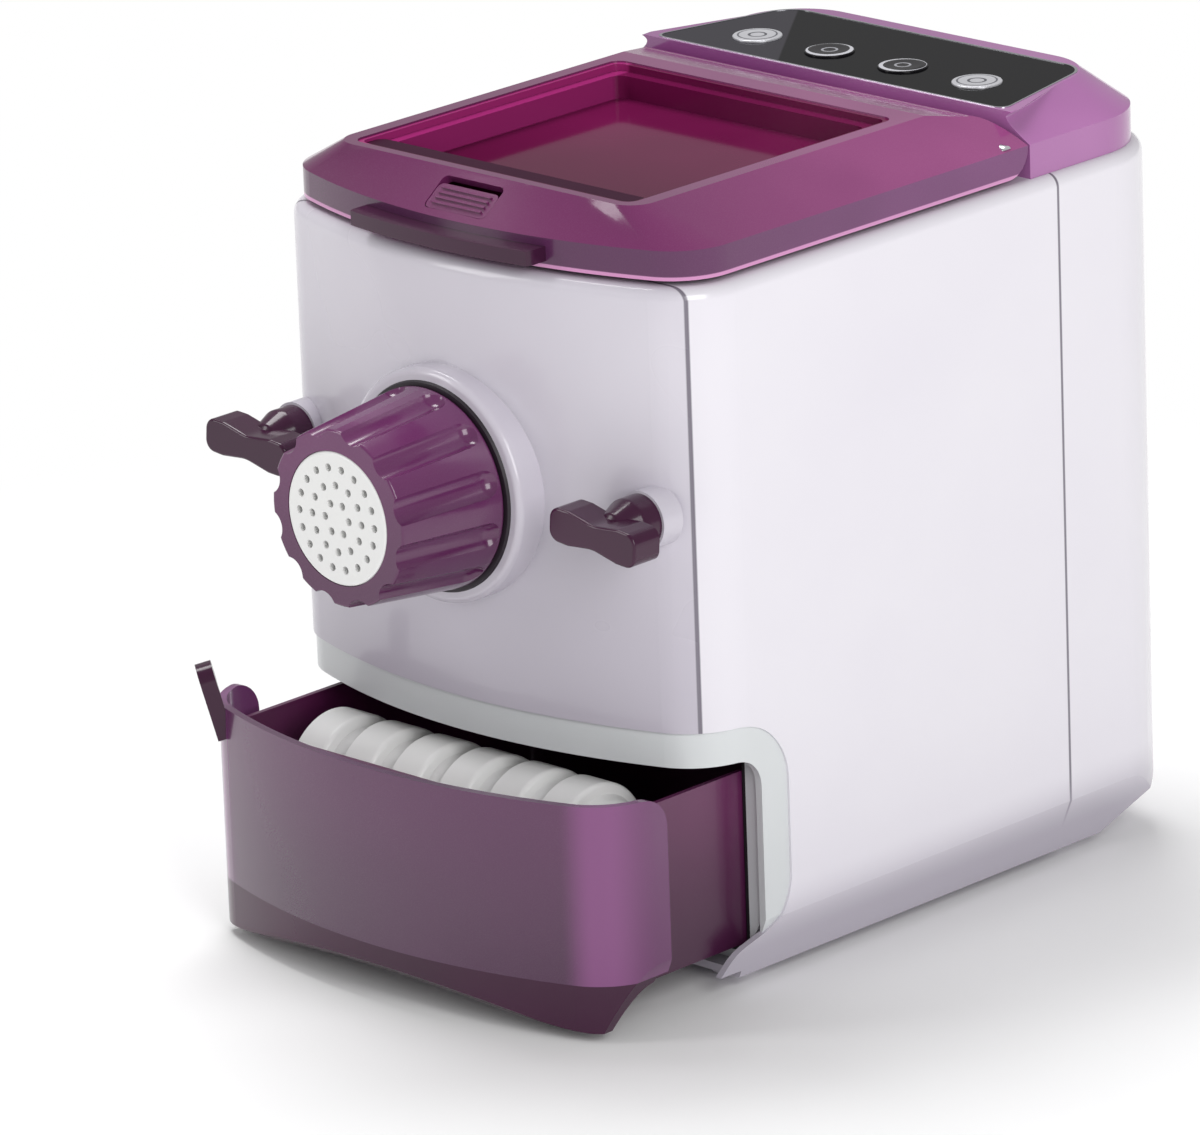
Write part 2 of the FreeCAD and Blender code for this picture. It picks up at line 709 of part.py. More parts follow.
# Screw, mixing rotor and drive shaft turn together on the nozzle axis.
screw_back = -60.0
screw_front = -size("barrel_front") + 1
flight_gap = 0.4
screw = body("extrusion_screw")
turn(screw, sketch(screw, "YZ_Plane", 0, loop([
    (screw_front, 0), (screw_front, size("screw_core") - 2, 1.5), (screw_front + 4, size("screw_core")),
    (screw_back, size("screw_core")), (screw_back, 0)]), shift_y="axis_height"))
flight_profile = sketch(screw, "YZ_Plane", 0, loop([
    (screw_front + 5, size("screw_core") - 1), (screw_front + 8.5, size("screw_core") - 1),
    (screw_front + 7.5, size("barrel_bore") - flight_gap), (screw_front + 6, size("barrel_bore") - flight_gap)]),
    shift_y="axis_height")
flight = screw.newObject("PartDesign::AdditiveHelix", "screw_flight")
flight.Profile = flight_profile
flight.ReferenceAxis = (flight_profile, ["H_Axis"])
flight.Mode = 0
bind(flight, "Pitch", "screw_pitch")
flight.Height = screw_back - screw_front - 12
node(screw, "extrusion_screw")

rotor_back = size("chamber_rear") - 4
socket = 34.0
hub = turned("rotor_hub", [(screw_back, 0), (screw_back, 10, 2), (rotor_back, 10, 2), (rotor_back, shaft),
                           (rotor_back - socket, shaft), (rotor_back - socket, 0)])
arm_reach = size("chamber_radius") - 8
rotor_parts = [hub]
for i, y in enumerate((-45, -22, 1, 24, 45)):
    seat = FreeCAD.Rotation(V(0, 1, 0), 72 * i + 30)
    arm = doc.addObject("Part::Cylinder", "rotor_arm")
    arm.Radius = 4.2
    arm.Height = arm_reach - 7
    arm.Placement = FreeCAD.Placement(V(0, y, axis_z) + seat.multVec(V(0, 0, 7)), seat)
    blade = doc.addObject("Part::Box", "rotor_blade")
    blade.Length = 5
    blade.Width = 18
    blade.Height = 11
    blade.Placement = FreeCAD.Placement(
        V(0, y, axis_z) + seat.multVec(V(-2.5, -9, arm_reach - 11)), seat)
    rotor_parts += [arm, blade]
node(fuse("mixing_rotor", rotor_parts), "mixing_rotor")

case_front = tub_rear + 6
case_rear = case_front + 34
node(turned("drive_shaft", [(rotor_back - socket + 1, 0), (rotor_back - socket + 1, shaft - 0.02),
                            (case_rear + 1, shaft - 0.02), (case_rear + 1, 0)]), "drive_shaft")

# Reduction gearing: motor pinion, double idler, output wheel on the drive shaft.

def gear_profile(teeth, phase):
    pitch = size("gear_module") * teeth / 2
    root = pitch - 1.2 * size("gear_module")
    tip = pitch + 0.85 * size("gear_module")
    quarter = 90 / teeth
    points = []
    for i in range(int(teeth)):
        middle = phase + 360 * i / teeth
        for radius, spread in ((root, -1.35), (pitch, -0.86), (tip, -0.36), (tip, 0.36), (pitch, 0.86),
                               (root, 1.35)):
            angle = math.radians(middle + spread * quarter)
            points.append((radius * math.cos(angle), radius * math.sin(angle)))
    return points


def gear(name, teeth, x, z, y0, y1, bore, phase):
    b = body(name)
    outline = [(x + px, z + pz) for px, pz in gear_profile(teeth, phase)]
    pad(b, sketch(b, "XZ_Plane", -y1, loop(outline) + circle(x, z, bore)), y1 - y0)
    return b


modul = size("gear_module")
output_teeth = size("output_teeth")
pinion_teeth = size("idler_pinion_teeth")
wheel_teeth = size("idler_wheel_teeth")
motor_teeth = size("motor_pinion_teeth")
idler_z = axis_z - modul * (output_teeth + pinion_teeth) / 2
motor_x = modul * (wheel_teeth + motor_teeth) / 2
row_one = case_front + 5
row_two = row_one + 13
node(gear("output_gear", output_teeth, 0, axis_z, row_one, row_one + 11, shaft - 0.02, -90), "output_gear")
pinion_body = gear("idler_pinion", pinion_teeth, 0, idler_z, row_one, row_one + 12, 3 + gap, 90 + 180 / pinion_teeth)
wheel_body = gear("idler_wheel", wheel_teeth, 0, idler_z, row_one + 12, row_one + 20, 3 + gap, 0)
node(fuse("idler_gear", [pinion_body, wheel_body]), "idler_gear")
node(gear("motor_pinion", motor_teeth, motor_x, idler_z, row_two, row_two + 8, 2.5, 180 + 180 / motor_teeth),
     "motor_pinion")
node(turned("idler_shaft", [(case_front + 1, 0), (case_front + 1, 3), (case_rear - 1, 3), (case_rear - 1, 0)],
            z=idler_z), "idler_shaft")

plate = 3.0
case_right = motor_x + modul * motor_teeth / 2 + 6
case_left = -modul * output_teeth / 2 - 8
case_top = axis_z + modul * output_teeth / 2 + 8
case_low = idler_z - modul * wheel_teeth / 2 - 7
case = body("gearbox_case")
pad(case, sketch(case, "XZ_Plane", -case_rear,
                 rect(case_left, case_right, case_low, case_top, 10)), case_rear - case_front)
pocket(case, sketch(case, "XZ_Plane", -case_front - plate,
                    rect(case_left + plate, case_right - plate, case_low + plate, case_top - plate, 7)),
       case_rear - case_front - 2 * plate)
bearing_outer = 9.0
pocket(case, sketch(case, "XZ_Plane", 0, circle(0, axis_z, bearing_outer)), both=True)
pocket(case, sketch(case, "XZ_Plane", 0, circle(0, idler_z, 3) + circle(motor_x, idler_z, 7)), both=True)
pad(case, sketch(case, "XY_Plane", "foot_height + base_thickness",
                 rect(case_left + 12, case_left + 20, case_front + 3, case_rear - 3)
                 + rect(case_right - 20, case_right - 12, case_front + 3, case_rear - 3)),
    case_low + plate / 2 - base - size("base_thickness"))
node(case, "gearbox_case")


def bearing(name, y0):
    return turned(name, [(y0, shaft + gap), (y0 + plate, shaft + gap), (y0 + plate, bearing_outer),
                         (y0, bearing_outer)])


node(fuse("shaft_bearings", [bearing("front_bearing", case_front), bearing("rear_bearing", case_rear - plate)]),
     "shaft_bearings")

can = size("motor_radius")
motor_back = case_rear + size("motor_length")
node(turned("motor_case", [(case_rear, 2.5 + gap), (case_rear, can - 3), (case_rear + 3, can, 1),
                           (motor_back, can, 3), (motor_back, 2.5 + gap)], z=idler_z, x=motor_x), "motor_case")
node(turned("motor_shaft", [(row_two - 1, 0), (row_two - 1, 2.5), (motor_back + 12, 2.5), (motor_back + 12, 0)],
            z=idler_z, x=motor_x), "motor_shaft")
fan = turned("cooling_fan", [(motor_back + 3, 2.5), (motor_back + 3, 8), (motor_back + 11, 8), (motor_back + 11, 2.5)],
             z=idler_z, x=motor_x)
blades = [fan]
for i in range(7):
    seat = FreeCAD.Rotation(V(0, 1, 0), 360 * i / 7)
    vane = doc.addObject("Part::Box", "fan_vane")
    vane.Length = 1.6
    vane.Width = 7
    vane.Height = 17
    tilted = seat.multiply(FreeCAD.Rotation(V(0, 0, 1), 25))
    vane.Placement = FreeCAD.Placement(
        V(motor_x, motor_back + 7, idler_z) + tilted.multVec(V(-0.8, -3.5, 7)), tilted)
    blades.append(vane)
node(fuse("cooling_fan_whole", blades), "cooling_fan")

# Studs and wing nuts clamp the front panel.
studs = body("clamp_studs")
for x in (-stud_x, stud_x):
    turn(studs, sketch(studs, "YZ_Plane", x, loop([
        (-size("nut_front") + 8, 0), (-size("nut_front") + 8, size("stud_radius"), 0.8),
        (-size("front_seam"), size("stud_radius")), (-size("front_seam"), 7), (-size("front_seam") + 3, 7),
        (-size("front_seam") + 3, 0)]), shift_y="axis_height"))
node(studs, "clamp_studs")

nut_depth = size("nut_depth")
bar_half = size("nut_width") / 2
nut_hub = 10.0


def wing_nut(name, x):
    hub_length = size("nut_front") - nut_depth - size("boss_front") - gap
    b = body(name)
    turn(b, sketch(b, "YZ_Plane", 0, loop([
        (-gap, 0), (-gap, nut_hub), (-hub_length + 5, nut_hub, 3), (-hub_length - 3, nut_hub - 3.5, 2),
        (-hub_length - 6, 0)])))
    wing = pad(b, sketch(b, "XZ_Plane", hub_length, loop([
        (-bar_half, 6.4, 4.5), (-bar_half + 9, 6.6, 5), (0, 4.6, 16), (bar_half - 9, 6.6, 5), (bar_half, 6.4, 4.5),
        (bar_half, -6.4, 4.5), (bar_half - 9, -6.6, 5), (0, -4.6, 16), (-bar_half + 9, -6.6, 5),
        (-bar_half, -6.4, 4.5)])), nut_depth)
    round_edges(b, wing, lambda e: abs(e.BoundBox.YMin + hub_length + nut_depth) < 0.01
                and abs(e.BoundBox.YMax + hub_length + nut_depth) < 0.01, 1)
    bore = sketch(b, "XZ_Plane", -1, circle(0, 0, size("stud_radius") + gap))
    pocket(b, bore, hub_length + nut_depth - 2.5, reverse=True)
    b.Placement = FreeCAD.Placement(V(x, -size("boss_front"), axis_z), FreeCAD.Rotation(V(0, 1, 0), 5))
    return node(b, name)


wing_nut("wing_nut_right", stud_x)
wing_nut("wing_nut_left", -stud_x)

# Crown outlines shared by the lid and the control housing.

def crown(inset, front, front_half, rear, rear_half, r):
    front += inset
    rear -= inset
    fh = front_half - inset
    rh = rear_half - inset
    bend = r * (1 - math.sqrt(0.5))
    return [
        line((-fh + r, front), (fh - r, front)),
        arc((fh - r, front), (fh - bend, front + bend), (fh, front + r)),
        line((fh, front + r), (rh, rear - r)),
        arc((rh, rear - r), (rh - bend, rear - bend), (rh - r, rear)),
        line((rh - r, rear), (-rh + r, rear)),
        arc((-rh + r, rear), (-rh + bend, rear - bend), (-rh, rear - r)),
        line((-rh, rear - r), (-fh, front + r)),
        arc((-fh, front + r), (-fh + bend, front + bend), (-fh + r, front)),
    ]


def crown_form(name, inset, low, top, outline):
    b = body(name)
    edge = size("lid_inset") + inset
    pad(b, sketch(b, "XY_Plane", low, plan(edge)), size("rim_top") - low - inset)
    foot = sketch(b, "XY_Plane", size("rim_top") - inset, plan(edge))
    head = sketch(b, "XY_Plane", top - inset, crown(inset, *outline))
    loft = b.newObject("PartDesign::AdditiveLoft", name + "_loft")
    loft.Profile = foot
    loft.Sections = [head]
    loft.Ruled = True
    return b


lid_low = size("lid_bottom")
lid_outline = (-size("window_front") - 4, size("window_half") + 6, size("body_rear") - 30,
               size("window_half") + 6, 10)
lid_outer = crown_form("lid_outer", 0, lid_low, size("lid_crest"), lid_outline)
lid_inner = crown_form("lid_inner", size("lid_wall"), lid_low - 5, size("lid_crest"), lid_outline)
hinge_r = size("hinge_round")
hinge_y = size("lid_rear") - hinge_r
hinge_z = lid_low + hinge_r


def lid_extent(name, inset):
    """Side profile of the lid, rounded about its hinge; the inner one opens downward."""
    r = hinge_r - inset
    low = lid_low - (6 if inset else 0)
    ceiling = size("lid_crest") + 1 - inset
    points = [(hinge_y, hinge_z + r), (hinge_y - 22, ceiling), (-FAR, ceiling), (-FAR, low), (hinge_y, low)]
    if inset:
        points.append((hinge_y, hinge_z - r))
    edges = [line(p, q) for p, q in zip(points, points[1:])]
    edges.append(arc(points[-1], (hinge_y + r, hinge_z), points[0]))
    b = body(name)
    pad(b, sketch(b, "YZ_Plane", 0, edges), FAR, both=True)
    return b


lid_solid = common("lid_solid", lid_outer, lid_extent("lid_extent", 0))
lid_hollow = common("lid_hollow", lid_inner, lid_extent("lid_extent_inner", size("lid_wall")))
lid_shell = cut("lid_shell", lid_solid, lid_hollow)
window_half = size("window_half")
window_y = (-size("window_front"), size("window_rear"))
window_hole = body("window_hole")
pad(window_hole, sketch(window_hole, "XY_Plane", "rim_top - 20",
                        rect(-window_half, window_half, window_y[0], window_y[1], 5)), 60)

# Latch button on the front slope of the lid.
slope_run = -size("window_front") - 4 + size("body_front") - size("lid_inset")
slope_rise = size("lid_crest") - size("rim_top")
slope = math.degrees(math.atan2(slope_rise, slope_run))
latch_y = -size("body_front") + size("lid_inset") + slope_run * 0.5
latch_z = size("rim_top") + slope_rise * 0.5
latch_place = FreeCAD.Placement(V(0, latch_y, latch_z), FreeCAD.Rotation(V(1, 0, 0), slope))
latch_half = size("latch_half")
travel = size("latch_travel")
latch_low = -7.5
latch_high = 4.0
slot = body("latch_slot")
pad(slot, sketch(slot, "XY_Plane", -9, rect(-latch_half - 0.3, latch_half + 0.3, latch_low - 0.3,
                                            latch_high + travel + 0.4, 2.5)), 20)
slot.Placement = latch_place
latch = body("lid_latch")
latch_under = -size("lid_wall") * (math.sin(math.radians(slope)) + math.cos(math.radians(slope))) - 0.4
latch_face = -0.4
pad(latch, sketch(latch, "XY_Plane", latch_under, rect(-latch_half, latch_half, latch_low, latch_high, 2.4)),
    latch_face - latch_under)
ribs = []
for i in range(4):
    y = latch_low + 2 + 2.3 * i
    ribs += rect(-latch_half + 2.5, latch_half - 2.5, y, y + 1.1, 0.5)
pad(latch, sketch(latch, "XY_Plane", latch_face, ribs), 0.9)
pad(latch, sketch(latch, "XY_Plane", latch_under - 1.6,
                  rect(-latch_half - 2.5, latch_half + 2.5, latch_low, latch_high - 0.5, 2)), 1.6)
latch.Placement = latch_place
node(latch, "lid_latch")

pin_radius = 2.5
lug_x = 79.0
lug_width = 8.0
lug_slots = []
for side in (-1, 1):
    low_x = side * (lug_x + lug_width / 2) - lug_width / 2 - 0.6
    lug_slots.append(block("lug_slot", (f"{low_x}", f"{low_x + lug_width + 1.2}"),
                           (f"{hinge_y - 13}", f"{hinge_y + 20}"), (f"{lid_low - 8}", f"{hinge_z + 5.5}")))
pin_hole = doc.addObject("Part::Cylinder", "pin_hole")
pin_hole.Radius = pin_radius + gap
pin_half = half_width - size("lid_inset") - size("lid_wall") + 1.5
pin_hole.Height = 2 * pin_half
pin_hole.Placement = FreeCAD.Placement(V(-pin_half, hinge_y, hinge_z), FreeCAD.Rotation(V(0, 1, 0), 90))
lid_cuts = fuse("lid_cuts", [window_hole, slot, pin_hole] + lug_slots)
lid_open = cut("lid_open", lid_shell, lid_cuts)
rim_zone = block("rim_zone", ("-200", "200"), ("-200", "200"), ("lid_bottom - 1", "rim_top"))
crown_zone = block("crown_zone", ("-200", "200"), ("-200", "200"), ("rim_top", "lid_crest + 5"))
barrel_zone = block("barrel_zone", (f"-{lug_x}", f"{lug_x}"), (f"{hinge_y - 13}", "200"), ("200", "rim_top"))
rim_whole = common("rim_whole", lid_open, rim_zone)
node(cut("lid_rim", rim_whole, barrel_zone), "lid_rim")
crown_top = common("crown_top", lid_open, crown_zone)
crown_back = common("crown_back", lid_open, barrel_zone)
node(fuse("lid_crown", [crown_top, crown_back]), "lid_crown")

window = body("lid_window")
crest = size("lid_crest")
pan_depth = size("window_drop")
ledge = 7.0
pad(window, sketch(window, "XY_Plane", crest - 5.0,
                   rect(-window_half, window_half, window_y[0], window_y[1], 5)), 4.4)
pad(window, sketch(window, "XY_Plane", crest - pan_depth - 2,
                   rect(-window_half + ledge - 2, window_half - ledge + 2,
                        window_y[0] + ledge - 2, window_y[1] - ledge + 2, 6)), pan_depth)
pocket(window, sketch(window, "XY_Plane", crest,
                      rect(-window_half + 2, window_half - 2, window_y[0] + 2, window_y[1] - 2, 4)), 3.2)
pocket(window, sketch(window, "XY_Plane", crest,
                      rect(-window_half + ledge, window_half - ledge,
                           window_y[0] + ledge, window_y[1] - ledge, 5)), pan_depth)
node(window, "lid_window")
strip = body("window_strip")
pad(strip, sketch(strip, "XY_Plane", crest - 3.2,
                  rect(-window_half + 2, window_half - 2, window_y[0] + 2, window_y[0] + ledge + 6, 4)), 1.4)
node(strip, "window_strip")

grip = body("lid_grip")
grip_half = size("grip_half")
pad(grip, sketch(grip, "XY_Plane", lid_low + 2.5,
                            plan(size("lid_inset") - size("grip_reach")) + plan(size("lid_inset"))), 5.5)
grip_body = body("grip_outline")
pad(grip_body, sketch(grip_body, "XY_Plane", 0,
                      rect(-grip_half, grip_half, front_at(0) - size("grip_reach") + size("lid_inset"),
                           -size("front_seam") + 8, 7)), FAR)
node(common("lid_grip_whole", grip, grip_body), "lid_grip")

lugs = body("hinge_lugs")
for side in (-1, 1):
    start = side * (lug_x + lug_width / 2) - lug_width / 2
    pad(lugs, sketch(lugs, "YZ_Plane", start, [
        line((hinge_y - 6, deck), (hinge_y + 6, deck)),
        line((hinge_y + 6, deck), (hinge_y + 5, hinge_z)),
        arc((hinge_y + 5, hinge_z), (hinge_y, hinge_z + 5), (hinge_y - 5, hinge_z)),
        line((hinge_y - 5, hinge_z), (hinge_y - 6, deck))] + circle(hinge_y, hinge_z, pin_radius)), lug_width)
node(lugs, "hinge_lugs")
pin = doc.addObject("Part::Cylinder", "hinge_pin")
pin.Radius = pin_radius
pin.Height = 2 * (pin_half - gap)
pin.Placement = FreeCAD.Placement(V(gap - pin_half, hinge_y, hinge_z), FreeCAD.Rotation(V(0, 1, 0), 90))
node(pin, "hinge_pin")

# Control housing behind the lid.
console_front = size("lid_rear") + size("console_gap")
console_half = size("glass_half") + 5
console_outline = (size("lid_rear") - 20, console_half, size("body_rear") - 17, console_half - 13, 26)
console_outer = crown_form("console_outer", 0, deck, size("console_top"), console_outline)
console_inner = crown_form("console_inner", size("wall"), deck - 5, size("console_top") - size("glass_thickness"),
                           console_outline)
console_zone = block("console_zone", ("-200", "200"), (f"{console_front}", "300"), ("200", "400"))
hollow_zone = block("hollow_zone", ("-200", "200"), (f"{console_front} + wall", "300"), ("200", "400"))
console_solid = common("console_solid", console_outer, console_zone)
console_hollow = common("console_hollow", console_inner, hollow_zone)
console_shell = cut("console_shell", console_solid, console_hollow)


def glass_outline(grow):
    front = console_front + 2 - grow
    rear = front + size("glass_depth") + 2 * grow
    wide = size("glass_half") + grow
    narrow = size("glass_half") - 14 + grow
    return loop([(-wide, front, 4), (wide, front, 4), (narrow, rear, 12), (-narrow, rear, 12)])


top = size("console_top")
glass = size("glass_thickness")
key_y = console_front + 2 + size("glass_depth") * 0.36
key_xs = [size("key_pitch") * (i - 1.5) for i in range(4)]
key = size("key_radius")
key_bores = []
for x in key_xs:
    key_bores += circle(x, key_y, key + gap)
recess = body("glass_recess")
pad(recess, sketch(recess, "XY_Plane", top - glass, glass_outline(0.8)), 10)
bores = body("key_bores")
pad(bores, sketch(bores, "XY_Plane", top - 12, key_bores), 20)
console_tools = fuse("console_tools", [recess, bores])
posts = body("board_posts")
board_top = top - 16
pad(posts, sketch(posts, "XY_Plane", board_top, circle(-70, key_y + 8, 3) + circle(70, key_y + 8, 3)),
    top - glass - 1 - board_top)
console_cut = cut("console_cut", console_shell, console_tools)
node(fuse("control_housing", [console_cut, posts]), "control_housing")

plate_glass = body("control_glass")
pad(plate_glass, sketch(plate_glass, "XY_Plane", top - glass, glass_outline(0) + key_bores), "glass_thickness")
node(plate_glass, "control_glass")
trim = body("glass_trim")
pad(trim, sketch(trim, "XY_Plane", top - glass, glass_outline(0.8) + glass_outline(0)), glass + 0.2)
node(trim, "glass_trim")

flange_top = top - glass - size("wall") - 0.1
for i, x in enumerate(key_xs):
    name = f"key_{i + 1}"
    b = body(name)
    turn(b, sketch(b, "XZ_Plane", 0, loop([
        (0, top + 0.7), (key - 2.2, top + 0.9), (key, top + 0.7, 0.5), (key, flange_top), (key + 1.3, flange_top),
        (key + 1.3, flange_top - 1.2), (2.5, flange_top - 1.2), (2.5, board_top + 4.2), (0, board_top + 4.2)])),
         "V_Axis")
    b.Placement = FreeCAD.Placement(V(x, key_y, 0), FreeCAD.Rotation())
    node(b, name)

board = body("key_board")
pad(board, sketch(board, "XY_Plane", board_top - 1.6, rect(-78, 78, key_y - 12, key_y + 16, 2)), 1.6)
node(board, "key_board")
switches = body("key_switches")
outlines = []
for x in key_xs:
    outlines += rect(x - 3, x + 3, key_y - 3, key_y + 3, 0.5)
pad(switches, sketch(switches, "XY_Plane", board_top, outlines), 4.2 - size("key_travel") - 0.2)
node(switches, "key_switches")

# Power board, inlet and rear screws.
board_low = 24.0
power = body("power_board")
pad(power, sketch(power, "XY_Plane", board_low, rect(-92, -50, 76, 112, 2)), 1.6)
node(power, "power_board")
stand = body("board_stands")
pad(stand, sketch(stand, "XY_Plane", "foot_height + base_thickness",
                  circle(-87, 81, 2.5) + circle(-55, 81, 2.5) + circle(-87, 107, 2.5) + circle(-55, 107, 2.5)),
    board_low - base - size("base_thickness"))
node(stand, "board_stands")
parts = body("board_parts")
pad(parts, sketch(parts, "XY_Plane", board_low + 1.6, rect(-82, -68, 86, 104, 1)), 16)
pad(parts, sketch(parts, "XY_Plane", board_low + 1.6, circle(-59, 94, 5)), 22)
node(parts, "board_parts")

rear_at = size("body_rear") - size("rear_curve") + math.sqrt(size("rear_curve") ** 2 - (abs(inlet_x) - inlet_radius) ** 2)
node(turned("power_inlet", [
    (rear_at - 18, 0), (rear_at - 18, inlet_radius), (rear_at + 0.1, inlet_radius), (rear_at + 0.1, inlet_radius + 2.5),
    (rear_at + 1.8, inlet_radius + 2.2, 0.6), (rear_at + 1.8, inlet_radius - 3), (rear_at - 12, inlet_radius - 3),
    (rear_at - 12, 0)], z=inlet_z, x=inlet_x), "power_inlet")
pins = body("inlet_pins")
pad(pins, sketch(pins, "XZ_Plane", -rear_at + 12,
                 circle(inlet_x - 3.5, inlet_z, 1.2) + circle(inlet_x + 3.5, inlet_z, 1.2)), 9, reverse=True)
node(pins, "inlet_pins")

# Check every shape, then write one file per node, with the machine centred over the origin
# from its nose to its back.
centre_shift = -(die_front + size("body_rear")) / 2
doc.recompute()
os.makedirs("parts", exist_ok=True)
for made in doc.Objects:
    if "Invalid" in made.State or "Error" in made.State:
        raise RuntimeError(f"{made.Name}: {made.State}")
for name, made in NODES.items():
    shape = made.Shape.copy()
    shape.translate(V(0, centre_shift, 0))
    if shape.isNull() or not shape.isValid() or not shape.Solids:
        raise RuntimeError(f"{name}: no valid solid")
    shape.exportStep(f"parts/{name}.step")
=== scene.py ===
import json
import math

import bpy
from mathutils import Matrix, Vector


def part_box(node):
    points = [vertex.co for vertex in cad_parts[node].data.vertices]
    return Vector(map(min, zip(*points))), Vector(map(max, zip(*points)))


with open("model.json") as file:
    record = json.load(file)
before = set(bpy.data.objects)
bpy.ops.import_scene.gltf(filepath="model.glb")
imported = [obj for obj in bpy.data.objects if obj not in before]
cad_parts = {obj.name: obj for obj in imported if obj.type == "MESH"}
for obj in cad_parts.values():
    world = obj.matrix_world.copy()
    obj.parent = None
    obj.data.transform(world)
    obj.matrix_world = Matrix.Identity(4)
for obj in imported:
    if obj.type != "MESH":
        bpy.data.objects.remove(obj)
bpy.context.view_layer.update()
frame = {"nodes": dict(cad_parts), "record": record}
nodes = frame["nodes"]

MM = 0.001
ACROSS = (1, 0, 0)
ALONG = (0, 1, 0)
UPWARD = (0, 0, 1)

FLAKE_SCALE = 2600.0
FLAKE_LIGHT = (0.9, 0.6, 0.85, 1)
GRAIN_DEPTH = 0.2 * MM
COAT_ROUGHNESS = 0.06
SECOND_SHADE = 0.9


def put(node, sockets):
    """Gives a node's sockets their values by name."""
    for label, value in sockets.items():
        node.inputs[label].default_value = value


def add(tree, kind, sockets=None, **settings):
    """Adds a node with its settings, then gives its sockets their values."""
    node = tree.nodes.new(kind)
    for label, value in settings.items():
        setattr(node, label, value)
    put(node, sockets or {})
    return node


def remap(tree, value, low, high, out_low, out_high):
    """Maps a value from one range to another and holds it at the ends."""
    node = add(tree, "ShaderNodeMapRange",
               {"From Min": low, "From Max": high, "To Min": out_low, "To Max": out_high})
    tree.links.new(value, node.inputs["Value"])
    return node.outputs["Result"]


# Shader node groups shared by the finishes

def new_group(name, inputs, outputs):
    """Node group with named sockets, given as (name, kind, default)."""
    group = bpy.data.node_groups.new(name, "ShaderNodeTree")
    for label, kind, default in inputs:
        socket = group.interface.new_socket(label, in_out="INPUT", socket_type="NodeSocket" + kind)
        socket.default_value = default
    for label, kind in outputs:
        group.interface.new_socket(label, in_out="OUTPUT", socket_type="NodeSocket" + kind)
    return group, group.nodes.new("NodeGroupInput"), group.nodes.new("NodeGroupOutput")


def make_moulding_group():
    """Fine surface of a moulded or turned piece: tint drift, uneven gloss, grain height."""
    group, source, sink = new_group(
        "moulding",
        [("Color", "Color", (0.8, 0.8, 0.8, 1)), ("Second Color", "Color", (0.7, 0.7, 0.7, 1)),
         ("Drift Scale", "Float", 12.0), ("Grain Scale", "Float", 900.0),
         ("Roughness", "Float", 0.3), ("Roughness Spread", "Float", 0.05)],
        [("Color", "Color"), ("Roughness", "Float"), ("Height", "Float")])
    place = add(group, "ShaderNodeTexCoord")
    drift = add(group, "ShaderNodeTexNoise")
    grain = add(group, "ShaderNodeTexNoise")
    mix = add(group, "ShaderNodeMix", data_type="RGBA")
    spread = add(group, "ShaderNodeMath", operation="MULTIPLY_ADD")
    centred = add(group, "ShaderNodeMath", operation="SUBTRACT")
    centred.inputs[1].default_value = 0.5
    link = group.links.new
    link(place.outputs["Object"], drift.inputs["Vector"])
    link(place.outputs["Object"], grain.inputs["Vector"])
    link(source.outputs["Drift Scale"], drift.inputs["Scale"])
    link(source.outputs["Grain Scale"], grain.inputs["Scale"])
    link(drift.outputs["Fac"], mix.inputs["Factor"])
    link(source.outputs["Color"], mix.inputs["A"])
    link(source.outputs["Second Color"], mix.inputs["B"])
    link(drift.outputs["Fac"], centred.inputs[0])
    link(centred.outputs[0], spread.inputs[0])
    link(source.outputs["Roughness Spread"], spread.inputs[1])
    link(source.outputs["Roughness"], spread.inputs[2])
    link(mix.outputs["Result"], sink.inputs["Color"])
    link(spread.outputs[0], sink.inputs["Roughness"])
    link(grain.outputs["Fac"], sink.inputs["Height"])
    return group


def make_light_fall_group():
    """Painted light and shade: the tint turns from a shaded to a lit colour along a direction, and
    carries fine flakes.
    """
    group, source, sink = new_group(
        "painted_light_and_flakes",
        [("Low Color", "Color", (0.2, 0.1, 0.2, 1)), ("High Color", "Color", (0.5, 0.2, 0.4, 1)),
         ("Direction", "Vector", (0, 0, 1)), ("Low", "Float", 0.0), ("High", "Float", 0.1),
         ("Flake Amount", "Float", 0.1)],
        [("Color", "Color")])
    place = add(group, "ShaderNodeTexCoord")
    along = add(group, "ShaderNodeVectorMath", operation="DOT_PRODUCT")
    rise = add(group, "ShaderNodeMapRange", interpolation_type="SMOOTHSTEP")
    mix = add(group, "ShaderNodeMix", data_type="RGBA")
    flakes = add(group, "ShaderNodeTexVoronoi", {"Scale": FLAKE_SCALE})
    light = add(group, "ShaderNodeMix", data_type="RGBA", blend_type="SCREEN")
    light.inputs["B"].default_value = FLAKE_LIGHT
    amount = add(group, "ShaderNodeMath", operation="MULTIPLY")
    link = group.links.new
    link(place.outputs["Object"], along.inputs[0])
    link(source.outputs["Direction"], along.inputs[1])
    link(place.outputs["Object"], flakes.inputs["Vector"])
    link(along.outputs["Value"], rise.inputs["Value"])
    link(source.outputs["Low"], rise.inputs["From Min"])
    link(source.outputs["High"], rise.inputs["From Max"])
    link(rise.outputs["Result"], mix.inputs["Factor"])
    link(source.outputs["Low Color"], mix.inputs["A"])
    link(source.outputs["High Color"], mix.inputs["B"])
    link(flakes.outputs["Distance"], amount.inputs[0])
    link(source.outputs["Flake Amount"], amount.inputs[1])
    link(amount.outputs[0], light.inputs["Factor"])
    link(mix.outputs["Result"], light.inputs["A"])
    link(light.outputs["Result"], sink.inputs["Color"])
    return group


